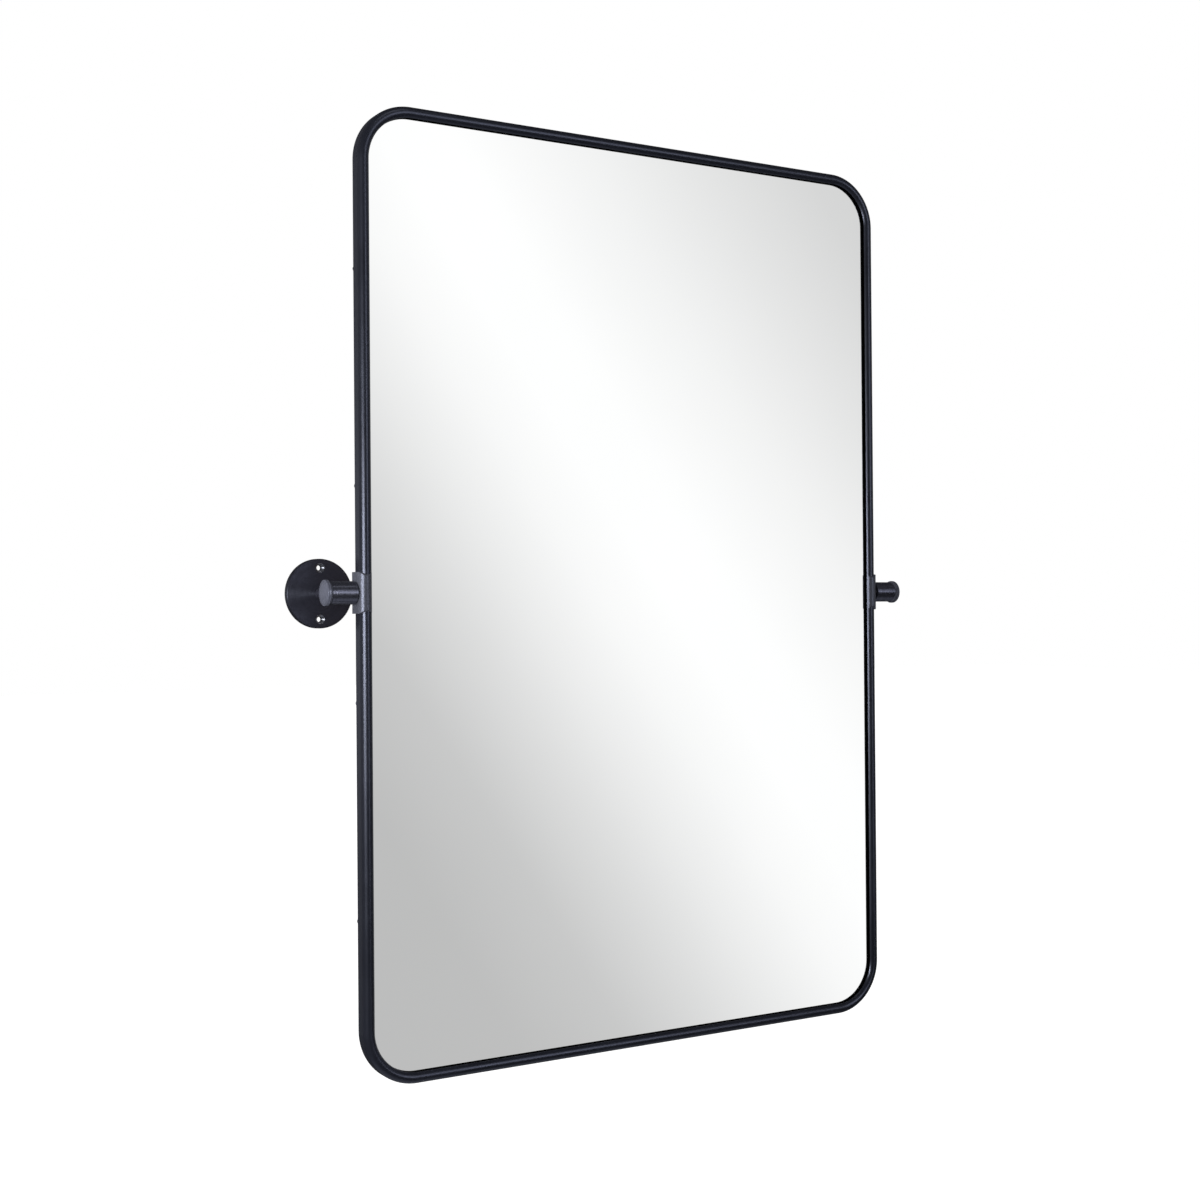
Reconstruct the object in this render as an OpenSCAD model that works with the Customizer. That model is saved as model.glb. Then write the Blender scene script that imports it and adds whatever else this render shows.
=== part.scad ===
// Pivot wall mirror: a rectangular mirror in a black metal frame with round corners, which
// tilts on two horizontal barrels. Each barrel is carried off the wall by a post on a round plate.
// Millimetres. +Z is up, +X is right as seen from the room and the wall is the plane Y = 0.
// The origin is the centre of the four wall screw holes, level with the tilt axis.

/* [Mirror] */
// Width over the frame
mirror_w = 610; // [400:1:900]
// Height over the frame
mirror_h = 914; // [500:1:1200]
// Outer radius of the four frame corners
corner_r = 54; // [30:1:120]
// Width of the frame rail seen from the front
rail_w = 12; // [10:0.5:18]
// Depth of the frame rail from nose to rear face
rail_depth = 15.5; // [13:0.5:26]
// Depth of the glass behind the nose of the rail
glass_recess = 3.5; // [3:0.1:4.5]
// Thickness of the silvered glass
glass_t = 4; // [3:0.5:6]
// Thickness of the foam tape between the rail's lip and the glass
tape_t = 0.7; // [0.4:0.1:1]
// Distance that the foam tape stops short of the lip's inner edge
tape_set = 0.6; // [0.2:0.1:2]
// Thickness of the card sheet behind the glass
sheet_t = 2; // [1:0.5:3]
// Play between the glass edge and the rail
glass_gap = 0.5; // [0.3:0.1:1]

/* [Rear clips] */
// Clips along each upright of the frame
clips_upright = 4; // [2:2:8]
// Clips along the top rail and along the bottom rail
clips_across = 2; // [1:1:4]
// Length of a clip, from the rail in over the board
clip_l = 18; // [14:1:30]
// Width of a clip along the rail
clip_w = 14; // [8:1:20]
// Thickness of a clip
clip_t = 1.2; // [0.8:0.1:2]

/* [Wall bracket] */
// Distance from the wall to the tilt axis
standoff = 60; // [48:1:90]
// Height of the tilt axis above the middle of the mirror
pivot_rise = 1.5; // [0:0.5:6]
// Metal left between the pivot pin and the rear face of the rail
pin_wall = 0.75; // [0.5:0.05:2]
// Diameter of the round wall plate
plate_d = 66; // [52:1:100]
// Thickness of the wall plate
plate_t = 6; // [5:0.5:10]
// Radius on the plate's front edge
plate_edge = 1.2; // [0.5:0.1:3]
// Diameter of the two wall screw holes in a plate
wall_hole_d = 5; // [4:0.1:6]
// Diameter across the mouth of the wall screw countersinks
wall_sink_d = 9.2; // [8:0.1:11]
// Distance from the plate's rim to the middle of a wall screw hole
wall_hole_edge = 8.6; // [7:0.1:12]
// Diameter of the post
post_d = 10; // [8.5:0.5:14]

/* [Barrel and knob] */
// Outer diameter of the barrel
barrel_d = 21.6; // [18:0.1:28]
// Length of the barrel
barrel_l = 24.5; // [20:0.5:40]
// Distance that the tension knob's rim stands out past the barrel
knob_lip = 1.3; // [0.8:0.1:3]
// Length of the tension knob with its domed end
knob_l = 7.5; // [6:0.5:14]
// Height of the knob's dome
dome_h = 2.5; // [1.5:0.1:3.5]
// Diameter of the pivot pin
pin_d = 8; // [6.5:0.1:10]
// Running clearance all round the pivot pin
pin_clear = 0.05; // [0.02:0.01:0.1]
// Wall thickness of the nylon bushes
bush_wall = 1.4; // [1.2:0.1:1.8]
// Thickness of the bush flanges
bush_flange_t = 0.7; // [0.6:0.1:1.2]

/* [Saddle] */
// Thickness of the saddle on the side of the rail
saddle_t = 2.2; // [1.5:0.1:3.5]
// Height of the saddle
saddle_h = 38.6; // [32:0.2:60]
// Angle that the saddle wraps past the front of the nose
saddle_wrap = 45; // [5:1:50]
// Radius on the saddle's front corners
saddle_corner = 6; // [3:0.5:8]

/* [Hidden] */
$fn = 96;
eps = 0.01;

// Gap left between faces that turn past each other
face_gap = 0.05;

// Frame section, measured from the rail's outer edge and from the middle of its depth
nose_r = rail_w / 2;
nose_z = rail_depth / 2 - nose_r;
seat_z = rail_depth / 2 - glass_recess + tape_t;
glass_front = seat_z - tape_t;
sheet_front = glass_front - glass_t;
board_front = sheet_front - sheet_t;
board_t = board_front + rail_depth / 2;
pane_inset = nose_r + glass_gap;
pane_w = mirror_w - 2 * pane_inset;
pane_h = mirror_h - 2 * pane_inset;
pane_r = corner_r - pane_inset;
lip_reach = nose_r + sqrt(pow(nose_r, 2) - pow(seat_z - nose_z, 2));
tape_w = lip_reach - tape_set - pane_inset;

// The tilt axis lies behind the middle of the rail's depth, so that the pin clears the rear face
pivot_back = rail_depth / 2 - pin_wall - pin_d / 2;
mirror_y = -(standoff + pivot_back);

// Fasteners that hold the clips and the saddles to the rail
rail_screw_d = 3;
rail_screw_l = 8;
land_mid = nose_r / 2;
clip_head_d = 5.6;
clip_head_h = 1.8;
saddle_head_d = 5.4;
saddle_thinning = 0.45;
saddle_set = saddle_thinning * saddle_t;
saddle_round = nose_r + saddle_t - saddle_set;
saddle_screw_edge = 7.3;
saddle_screw_gap = saddle_h - 2 * saddle_screw_edge;

// Bushes in the barrel, and the spring and washer in the pocket in its outer end
bush_r = pin_d / 2 + bush_wall;
bush_bore_r = pin_d / 2 + pin_clear;
bush_flange_w = 2;
flange_r = bush_r + bush_flange_w;
inner_bush_l = 8;
outer_bush_l = 6;
washer_t = 1;
spring_h = 1.3;
spring_t = 0.8;
pocket_play = 0.2;
pocket_r = flange_r + pocket_play;
pocket_depth = bush_flange_t + spring_h + washer_t + 2 * face_gap;

// Places along the tilt axis, from the frame's side outwards
side_x = mirror_w / 2;
saddle_face = side_x + saddle_t;
barrel_x = saddle_face + face_gap + bush_flange_t;
barrel_end = barrel_x + barrel_l;
knob_d = barrel_d + 2 * knob_lip;
knob_gap = 0.35;
knob_rear = barrel_end + knob_gap;
knob_tip = knob_rear + knob_l;
pin_in = side_x - nose_r + 0.5;
pin_tip = knob_tip - dome_h - 0.2;

// Wall plate, and the post between it and its socket in the barrel
wall_hole_gap = plate_d - 2 * wall_hole_edge;
post_x = barrel_x + barrel_l / 2;
socket_wall = 0.9;
socket_r = bush_r + socket_wall;
post_screw_d = 6;
post_screw_l = 20;
post_screw_play = 0.2;
post_head_d = 12;
post_head_sunk = 0.3;

// ---- placing ----

// Local z points out of the wall and local y is up, at the middle of the mirror
module at_mirror() {
    translate([0, mirror_y, -pivot_rise]) rotate([90, 0, 0]) children();
}

// Local z points out of the wall from the point behind a post
module at_plate() {
    translate([post_x, 0, 0]) rotate([90, 0, 0]) children();
}

// Local z runs outwards along the tilt axis from the given x
module on_axis(x) {
    translate([x, -standoff, 0]) rotate([0, 90, 0]) children();
}

// Draws a right hand piece, or its mirror image on the left
module on_side(side) {
    if (side == "right") children();
    else mirror([1, 0, 0]) children();
}

// ---- shapes that repeat ----

// Sweeps a section round a rectangle with round corners; x of the section is 0 at the outer edge
module ring(w, h, r) {
    for (turn = [0 : 3]) {
        across = (turn % 2 == 0) ? w : h;
        along = (turn % 2 == 0) ? h : w;
        rotate([0, 0, 90 * turn]) {
            translate([across / 2, 0, 0]) rotate([90, 0, 0])
                linear_extrude(height = along - 2 * r, center = true) children();
            translate([across / 2 - r, along / 2 - r, 0])
                rotate_extrude(angle = 90) translate([r, 0]) children();
        }
    }
}

// Rectangle with round corners
module round_rect(w, h, r) {
    square([w - 2 * r, h], center = true);
    square([w, h - 2 * r], center = true);
    for (sx = [-1, 1], sy = [-1, 1])
        translate([sx * (w / 2 - r), sy * (h / 2 - r)]) circle(r = r);
}

// Pane with the outline of the glass, from z to z + t
module pane(z, t) {
    translate([0, 0, z]) linear_extrude(height = t) round_rect(pane_w, pane_h, pane_r);
}

// Countersunk screw with a hexagon socket; its head is flush with z = 0 and its shank runs to +z
module sunk_screw(d, head_d, l, socket_d) {
    head_h = (head_d - d) / 2;
    difference() {
        rotate_extrude() polygon([
            [0, 0], [head_d / 2, 0], [d / 2, head_h], [d / 2, l - 0.5], [d / 2 - 0.5, l], [0, l]
        ]);
        translate([0, 0, -eps]) cylinder(d = socket_d, h = head_h * 0.7, $fn = 6);
    }
}

// Room for a countersunk screw, open at z = 0
module sunk_hole(d, head_d, l) {
    translate([0, 0, -1]) cylinder(d = d, h = l + 1);
    cylinder(d1 = head_d, d2 = d, h = (head_d - d) / 2);
    translate([0, 0, -1]) cylinder(d = head_d, h = 1 + eps);
}

// Puts a child at each rear clip, with local x running inwards from the rail's outer edge
module at_clips() {
    for (turn = [0 : 3]) {
        across = (turn % 2 == 0) ? mirror_w : mirror_h;
        straight = (turn % 2 == 0) ? mirror_h - 2 * corner_r : mirror_w - 2 * corner_r;
        count = (turn % 2 == 0) ? clips_upright : clips_across;
        for (i = [0 : count - 1])
            rotate([0, 0, 90 * turn])
                translate([across / 2, ((i + 0.5) / count - 0.5) * straight, -rail_depth / 2])
                    rotate([0, 180, 0]) children();
    }
}

// Puts a child at each screw of the right saddle, with local z running forwards into the rail
module at_saddle_screws() {
    for (s = [-1, 1])
        translate([side_x - land_mid, mirror_y + rail_depth / 2 + saddle_t, s * saddle_screw_gap / 2])
            rotate([90, 0, 0]) children();
}

// ---- mirror ----

// Rail section: a solid outer wall, a half round nose and a lip in front of the glass
module rail_section() {
    translate([-nose_r, -rail_depth / 2]) square([nose_r, nose_z + rail_depth / 2]);
    intersection() {
        translate([-nose_r, nose_z]) circle(r = nose_r);
        union() {
            translate([-nose_r, nose_z]) square([nose_r, nose_r]);
            translate([-rail_w, seat_z]) square([rail_w, nose_r]);
        }
    }
}

module frame() {
    color([0.10, 0.10, 0.12]) difference() {
        at_mirror() ring(mirror_w, mirror_h, corner_r) rail_section();
        for (side = ["left", "right"]) on_side(side) {
            on_axis(side_x - nose_r - 1) cylinder(d = pin_d, h = nose_r + 2);
            at_saddle_screws() cylinder(d = rail_screw_d, h = rail_screw_l + saddle_t);
        }
        at_mirror() at_clips() translate([land_mid, 0, -rail_screw_l])
            cylinder(d = rail_screw_d, h = rail_screw_l + 1);
    }
}

module glass() {
    color([0.85, 0.87, 0.88]) at_mirror() pane(sheet_front, glass_t);
}

module glazing_tape() {
    color([0.05, 0.05, 0.05]) at_mirror() ring(mirror_w, mirror_h, corner_r)
        translate([-pane_inset - tape_w, glass_front]) square([tape_w, tape_t]);
}

module packing_sheet() {
    color([0.62, 0.50, 0.34]) at_mirror() pane(board_front, sheet_t);
}

module backing_board() {
    color([0.55, 0.42, 0.28]) at_mirror() pane(-rail_depth / 2, board_t);
}

module retaining_clips() {
    color([0.72, 0.73, 0.75]) at_mirror() at_clips() difference() {
        translate([1, -clip_w / 2, 0]) cube([clip_l, clip_w, clip_t]);
        translate([land_mid, 0, -1]) cylinder(d = rail_screw_d, h = clip_t + 2);
    }
}

module clip_screws() {
    color([0.65, 0.65, 0.67]) at_mirror() at_clips() translate([land_mid, 0, clip_t]) difference() {
        rotate_extrude() polygon([
            [0, -rail_screw_l], [rail_screw_d / 2 - 0.4, -rail_screw_l],
            [rail_screw_d / 2, 0.4 - rail_screw_l], [rail_screw_d / 2, 0],
            [clip_head_d / 2, 0], [clip_head_d / 2, clip_head_h / 2],
            [clip_head_d / 2 - 0.8, clip_head_h], [0, clip_head_h]
        ]);
        for (a = [0, 90]) rotate([0, 0, a])
            translate([-clip_head_d / 3, -0.3, clip_head_h - 1]) cube([clip_head_d / 1.5, 0.6, 2]);
    }
}

// ---- saddle and pivot pin ----

// Saddle section: a flange behind the rail, a plate on its side and a leaf that thins round its nose
module saddle_section() {
    rear = -rail_depth / 2;
    reach = 2 * (nose_r + saddle_t);
    translate([0, rear - saddle_t]) square([saddle_t, nose_z - rear + saddle_t]);
    translate([-nose_r + 0.5, rear - saddle_t]) square([nose_r + saddle_t - 0.5, saddle_t]);
    translate([-nose_r, nose_z]) intersection() {
        difference() {
            translate([saddle_set, 0]) circle(r = saddle_round);
            circle(r = nose_r);
        }
        polygon([
            [0, 0], [reach, 0], [reach, reach],
            [0, reach], [-reach * tan(saddle_wrap), reach]
        ]);
    }
}

// Side view of the saddle, with its two front corners rounded
module saddle_side() {
    front = nose_z + saddle_round;
    rear = -rail_depth / 2 - saddle_t - 1;
    translate([rear, -saddle_h / 2]) square([front - saddle_corner - rear, saddle_h]);
    translate([rear, saddle_corner - saddle_h / 2]) square([front - rear, saddle_h - 2 * saddle_corner]);
    for (s = [-1, 1])
        translate([front - saddle_corner, s * (saddle_h / 2 - saddle_corner)]) circle(r = saddle_corner);
}

module saddle(side) {
    color([0.20, 0.20, 0.23]) on_side(side) difference() {
        translate([side_x, mirror_y, 0]) mirror([0, 1, 0]) intersection() {
            linear_extrude(height = saddle_h, center = true) saddle_section();
            translate([-rail_w, 0, 0]) rotate([90, 0, 90])
                linear_extrude(height = 2 * rail_w) saddle_side();
        }
        on_axis(side_x - 1) cylinder(d = pin_d, h = saddle_t + 2);
        at_saddle_screws() sunk_hole(rail_screw_d, saddle_head_d, saddle_t + 1);
    }
}

module saddle_screws(side) {
    color([0.15, 0.15, 0.16]) on_side(side) at_saddle_screws()
        sunk_screw(rail_screw_d, saddle_head_d, rail_screw_l, 2.3);
}

module pivot_pin(side) {
    pin_l = pin_tip - pin_in;
    r = pin_d / 2;
    color([0.62, 0.63, 0.66]) on_side(side) on_axis(pin_in) difference() {
        rotate_extrude() polygon([
            [0, 0], [r - 0.5, 0], [r, 0.5], [r, pin_l - 0.5], [r - 0.5, pin_l], [0, pin_l]
        ]);
        translate([0, 0, pin_l - 4]) cylinder(d = pin_d * 0.55, h = 5, $fn = 6);
    }
}

// ---- bearing and tension parts ----

// Flanged bush along z; its flange ends at z = 0 and its sleeve runs on to z = l
module bush(l) {
    difference() {
        union() {
            translate([0, 0, -bush_flange_t]) cylinder(r = flange_r, h = bush_flange_t);
            cylinder(r = bush_r, h = l);
        }
        translate([0, 0, -bush_flange_t - 1]) cylinder(r = bush_bore_r, h = l + bush_flange_t + 2);
    }
}

module inner_bush(side) {
    color([0.90, 0.89, 0.85]) on_side(side) on_axis(barrel_x) bush(inner_bush_l);
}

module outer_bush(side) {
    color([0.90, 0.89, 0.85]) on_side(side) on_axis(barrel_end - pocket_depth)
        rotate([180, 0, 0]) bush(outer_bush_l);
}

module disc_spring(side) {
    inner = pin_d / 2 + 0.15;
    outer = flange_r - pocket_play;
    rise = spring_h - spring_t;
    color([0.60, 0.60, 0.60]) on_side(side)
        on_axis(barrel_end - pocket_depth + bush_flange_t + face_gap)
            rotate_extrude() polygon([
                [inner, rise], [outer, 0], [outer, spring_t], [inner, spring_h]
            ]);
}

module thrust_washer(side) {
    color([0.68, 0.68, 0.70]) on_side(side) on_axis(barrel_end - washer_t) difference() {
        cylinder(r = flange_r - pocket_play / 2, h = washer_t);
        translate([0, 0, -1]) cylinder(r = pin_d / 2 + pocket_play / 2, h = washer_t + 2);
    }
}

module tension_knob(side) {
    rim_z = knob_l - dome_h;
    cove_r = 2.2;
    neck_r = barrel_d / 2 - 0.4;
    dome_r = (pow(knob_d / 2, 2) + pow(dome_h, 2)) / (2 * dome_h);
    boss_h = knob_gap - face_gap;
    color([0.24, 0.25, 0.28]) on_side(side) on_axis(knob_rear) difference() {
        union() {
            rotate_extrude() difference() {
                intersection() {
                    square([knob_d / 2, knob_l]);
                    translate([0, knob_l - dome_r]) circle(r = dome_r, $fn = 360);
                }
                translate([neck_r + cove_r, 0]) circle(r = cove_r);
                translate([knob_d / 2, rim_z]) rotate(45) square(0.5, center = true);
            }
            translate([0, 0, -boss_h]) cylinder(r = flange_r - 0.4, h = boss_h + 1);
        }
        translate([0, 0, -boss_h - 1]) cylinder(r = bush_bore_r, h = pin_tip - knob_rear + boss_h + 1.1);
    }
}

// ---- wall bracket ----

module wall_plate(side) {
    r = plate_d / 2;
    color([0.11, 0.11, 0.13]) on_side(side) at_plate() difference() {
        rotate_extrude() {
            square([r - plate_edge, plate_t]);
            square([r, plate_t - plate_edge]);
            translate([r - plate_edge, plate_t - plate_edge]) circle(r = plate_edge);
        }
        for (s = [-1, 1])
            translate([0, s * wall_hole_gap / 2, plate_t]) rotate([180, 0, 0])
                sunk_hole(wall_hole_d, wall_sink_d, plate_t + 1);
        translate([0, 0, post_head_sunk])
            sunk_hole(post_screw_d + 2 * post_screw_play, post_head_d, plate_t + 1);
    }
}

module post(side) {
    post_l = standoff - socket_r - plate_t;
    color([0.11, 0.11, 0.13]) on_side(side) at_plate() translate([0, 0, plate_t]) difference() {
        cylinder(d = post_d, h = post_l);
        translate([0, 0, -1]) cylinder(d = post_screw_d, h = post_screw_l - plate_t + 2);
    }
}

module post_screw(side) {
    color([0.62, 0.62, 0.64]) on_side(side) at_plate() translate([0, 0, post_head_sunk])
        sunk_screw(post_screw_d, post_head_d, post_screw_l - post_head_sunk, 4.6);
}

module barrel(side) {
    r = barrel_d / 2;
    c = 0.4;
    groove = barrel_l - 3.3;
    pocket = barrel_l - pocket_depth;
    color([0.22, 0.23, 0.26]) on_side(side) difference() {
        on_axis(barrel_x) rotate_extrude() polygon([
            [bush_r, 0], [r - c, 0], [r, c],
            [r, groove - c], [r - c, groove], [r, groove + c],
            [r, barrel_l - c], [r - c, barrel_l],
            [pocket_r, barrel_l], [pocket_r, pocket], [bush_r, pocket],
            [bush_r, pocket - outer_bush_l], [pin_d / 2 + 0.3, pocket - outer_bush_l],
            [pin_d / 2 + 0.3, inner_bush_l], [bush_r, inner_bush_l]
        ]);
        at_plate() cylinder(d = post_d, h = standoff - socket_r);
    }
}

frame();
glass();
glazing_tape();
packing_sheet();
backing_board();
retaining_clips();
clip_screws();
saddle("left");  // saddle_left
saddle("right");  // saddle_right
saddle_screws("left");  // saddle_screws_left
saddle_screws("right");  // saddle_screws_right
pivot_pin("left");  // pivot_pin_left
pivot_pin("right");  // pivot_pin_right
thrust_washer("left");  // thrust_washer_left
thrust_washer("right");  // thrust_washer_right
disc_spring("left");  // disc_spring_left
disc_spring("right");  // disc_spring_right
tension_knob("left");  // tension_knob_left
tension_knob("right");  // tension_knob_right
wall_plate("left");  // wall_plate_left
wall_plate("right");  // wall_plate_right
post("left");  // post_left
post("right");  // post_right
post_screw("left");  // post_screw_left
post_screw("right");  // post_screw_right
barrel("left");  // barrel_left
barrel("right");  // barrel_right
inner_bush("left");  // inner_bush_left
inner_bush("right");  // inner_bush_right
outer_bush("left");  // outer_bush_left
outer_bush("right");  // outer_bush_right
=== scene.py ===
import math

import bmesh
import bpy
from mathutils import Matrix, Vector


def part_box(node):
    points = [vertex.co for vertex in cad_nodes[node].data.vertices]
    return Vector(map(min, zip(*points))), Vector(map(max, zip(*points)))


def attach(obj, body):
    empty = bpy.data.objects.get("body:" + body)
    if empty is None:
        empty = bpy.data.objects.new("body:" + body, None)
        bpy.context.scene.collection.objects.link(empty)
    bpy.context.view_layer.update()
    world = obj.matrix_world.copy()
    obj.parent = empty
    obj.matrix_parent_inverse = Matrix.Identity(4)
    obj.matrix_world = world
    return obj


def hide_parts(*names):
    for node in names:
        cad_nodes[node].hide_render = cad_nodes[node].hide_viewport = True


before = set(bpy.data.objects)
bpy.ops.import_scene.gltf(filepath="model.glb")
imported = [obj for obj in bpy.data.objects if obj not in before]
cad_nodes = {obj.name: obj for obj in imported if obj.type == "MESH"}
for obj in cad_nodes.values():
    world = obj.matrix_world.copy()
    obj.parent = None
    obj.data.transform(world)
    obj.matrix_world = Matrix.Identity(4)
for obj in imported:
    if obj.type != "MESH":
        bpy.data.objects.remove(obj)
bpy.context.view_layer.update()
MM = 0.001
JOIN_WITHIN = 0.001 * MM


# ---- Rail -------------------------------------------------------------------------------------
# One steel rail with a half round nose and a lip in front of the glass, bent round four corners.
# It is welded at the foot, ground flush and powder coated satin black. Everything else in the
# tilting part is fixed to it.
RAIL_WIDTH = 12 * MM
RAIL_CORNER = 54 * MM
RAIL_CORNER_STEPS = 28
RAIL_NOSE_STEPS = 20
RAIL_REAR_EDGE = 0.5 * MM
RAIL_LIP_EDGE = 0.12 * MM
LIP_TO_NOSE = 2.8 * MM
RAIL_SHARP = 30
RAIL_PEEL = 1400
RAIL_DRIFT = 18
RAIL_DUST = 4200
RAIL_ROUGH = (0.27, 0.34)
RAIL_BLACK = (0.0075, 0.0082, 0.0119, 1)
RAIL_SHEEN_TINT = (0.78, 0.82, 1, 1)

rail_low, rail_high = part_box("frame")
rail_depth = rail_high.y - rail_low.y
nose_radius = RAIL_WIDTH / 2
rail_path = {
    "Width": rail_high.x - rail_low.x,
    "Height": rail_high.z - rail_low.z,
    "Corner Radius": RAIL_CORNER,
}
path_sizes = {size: "Float" for size in rail_path}


def eased_outline(corners, steps=4):
    """Closed outline through corners (x, y, radius), with an arc at each corner that has a radius."""
    outline = []
    for i, (x, y, radius) in enumerate(corners):
        here = Vector((x, y))
        back = (Vector(corners[i - 1][:2]) - here).normalized()
        ahead = (Vector(corners[(i + 1) % len(corners)][:2]) - here).normalized()
        if radius == 0:
            outline.append(here)
            continue
        half = math.acos(max(-1, min(1, back.dot(ahead)))) / 2
        centre = here + (back + ahead).normalized() * (radius / math.sin(half))
        first = here + back * (radius / math.tan(half)) - centre
        last = here + ahead * (radius / math.tan(half)) - centre
        sweep = first.angle_signed(last)
        for k in range(steps + 1):
            outline.append(centre + Matrix.Rotation(-sweep * k / steps, 2) @ first)
    return outline


def rail_section():
    """Section of the rail: x runs inwards from its outer face, y from its rear face to the nose."""
    lip = rail_depth - LIP_TO_NOSE
    shoulder = rail_depth - nose_radius
    lip_angle = math.asin((lip - shoulder) / nose_radius)
    corners = [(0, 0, RAIL_REAR_EDGE)]
    for k in range(RAIL_NOSE_STEPS + 1):
        angle = math.pi + (lip_angle - math.pi) * k / RAIL_NOSE_STEPS
        edge = RAIL_LIP_EDGE if k == RAIL_NOSE_STEPS else 0
        x = nose_radius + nose_radius * math.cos(angle)
        corners.append((x, shoulder + nose_radius * math.sin(angle), edge))
    corners += [(nose_radius, lip, 0), (nose_radius, 0, RAIL_REAR_EDGE)]
    return eased_outline(corners)


def outline_mesh(name, outline):
    """Closed loop of edges through an outline, turned half round as the sweep lays it on its path."""
    mesh = bpy.data.meshes.new(name)
    count = len(outline)
    edges = [(i, (i + 1) % count) for i in range(count)]
    mesh.from_pydata([(-p.x, -p.y, 0) for p in outline], edges, [])
    return mesh


def new_tree(name, sizes):
    """Geometry node tree with a geometry input, the named sizes as inputs, and its two end nodes."""
    tree = bpy.data.node_groups.new(name, "GeometryNodeTree")
    tree.interface.new_socket("Geometry", in_out="INPUT", socket_type="NodeSocketGeometry")
    tree.interface.new_socket("Geometry", in_out="OUTPUT", socket_type="NodeSocketGeometry")
    for size, kind in sizes.items():
        tree.interface.new_socket(size, in_out="INPUT", socket_type="NodeSocket" + kind)
    return tree, tree.nodes.new("NodeGroupInput"), tree.nodes.new("NodeGroupOutput")


def end_tree(tree, geometry, inputs, outputs):
    """Ends a tree in real geometry with the material of its Finish input."""
    real = tree.nodes.new("GeometryNodeRealizeInstances")
    finish = tree.nodes.new("GeometryNodeSetMaterial")
    tree.links.new(geometry, real.inputs[0])
    tree.links.new(real.outputs[0], finish.inputs["Geometry"])
    tree.links.new(inputs.outputs["Finish"], finish.inputs["Material"])
    tree.links.new(finish.outputs[0], outputs.inputs[0])


def placed(name, data):
    """New object in the scene, standing at the world's origin."""
    thing = bpy.data.objects.new(name, data)
    bpy.context.scene.collection.objects.link(thing)
    return thing


def grown_mesh(mesh, tree, sizes):
    """Runs a tree on a mesh with the sizes given by name, and returns the plain mesh it makes."""
    seed = placed("seed", mesh)
    growth = seed.modifiers.new("growth", "NODES")
    growth.node_group = tree
    for item in tree.interface.items_tree:
        if item.item_type == "SOCKET" and item.in_out == "INPUT" and item.name in sizes:
            growth[item.identifier] = sizes[item.name]
    depsgraph = bpy.context.evaluated_depsgraph_get()
    grown = bpy.data.meshes.new_from_object(seed.evaluated_get(depsgraph))
    bpy.data.objects.remove(seed)
    return grown


def sweep_tree():
    """Sweeps the outline it is given round a rectangle with round corners."""
    sizes = {**path_sizes, "Corner Steps": "Int", "Finish": "Material"}
    tree, inputs, outputs = new_tree("rail sweep", sizes)
    path = tree.nodes.new("GeometryNodeCurvePrimitiveQuadrilateral")
    bends = tree.nodes.new("GeometryNodeFilletCurve")
    bends.mode = "POLY"
    section = tree.nodes.new("GeometryNodeMeshToCurve")
    sweep = tree.nodes.new("GeometryNodeCurveToMesh")
    link, given = tree.links.new, inputs.outputs
    link(given["Width"], path.inputs["Width"])
    link(given["Height"], path.inputs["Height"])
    link(path.outputs[0], bends.inputs["Curve"])
    link(given["Corner Radius"], bends.inputs["Radius"])
    link(given["Corner Steps"], bends.inputs["Count"])
    link(given["Geometry"], section.inputs[0])
    link(bends.outputs[0], sweep.inputs["Curve"])
    link(section.outputs[0], sweep.inputs["Profile Curve"])
    end_tree(tree, sweep.outputs[0], inputs, outputs)
    return tree


def finish_nodes(name, settings):
    """New material with the settings on its shader, and the tools to build its node tree."""
    material = bpy.data.materials.new(name)
    material.use_nodes = True
    tree = material.node_tree
    shader = tree.nodes["Principled BSDF"]
    for socket, value in settings.items():
        shader.inputs[socket].default_value = value
    place = tree.nodes.new("ShaderNodeTexCoord")
    return material, tree, shader, place.outputs["Object"]


def noise(tree, place, scale, detail=2, stretch=None):
    """Noise on object coordinates with scale features a metre, stretched along the axes if asked."""
    texture = tree.nodes.new("ShaderNodeTexNoise")
    texture.inputs["Scale"].default_value = scale
    texture.inputs["Detail"].default_value = detail
    if stretch:
        mapping = tree.nodes.new("ShaderNodeMapping")
        mapping.inputs["Scale"].default_value = stretch
        tree.links.new(place, mapping.inputs["Vector"])
        place = mapping.outputs["Vector"]
    tree.links.new(place, texture.inputs["Vector"])
    return texture.outputs["Fac"]


def spread(tree, factor, low, high, start=0.3, end=0.7):
    """Number that goes from low to high while factor goes from start to end."""
    span = tree.nodes.new("ShaderNodeMapRange")
    for name, value in (("From Min", start), ("From Max", end), ("To Min", low), ("To Max", high)):
        span.inputs[name].default_value = value
    tree.links.new(factor, span.inputs["Value"])
    return span.outputs[0]


def vary(tree, factor, socket, low, high, start=0.3, end=0.7):
    """Drives a number socket from low to high while factor goes from start to end."""
    tree.links.new(spread(tree, factor, low, high, start, end), socket)


def tint(tree, factor, socket, dark, light, start=0.3, end=0.7):
    """Drives a colour socket from dark to light while factor goes from start to end."""
    ramp = tree.nodes.new("ShaderNodeValToRGB")
    ramp.color_ramp.elements[0].position = start
    ramp.color_ramp.elements[0].color = dark
    ramp.color_ramp.elements[1].position = end
    ramp.color_ramp.elements[1].color = light
    tree.links.new(factor, ramp.inputs["Fac"])
    tree.links.new(ramp.outputs["Color"], socket)


def emboss(tree, shader, heights):
    """Chains bumps into the shader's normal; heights are (factor, depth in metres, strength)."""
    last = None
    for factor, depth, strength in heights:
        bump = tree.nodes.new("ShaderNodeBump")
        bump.inputs["Distance"].default_value = depth
        bump.inputs["Strength"].default_value = strength
        tree.links.new(factor, bump.inputs["Height"])
        if last:
            tree.links.new(last, bump.inputs["Normal"])
        last = bump.outputs["Normal"]
    tree.links.new(last, shader.inputs["Normal"])


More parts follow.
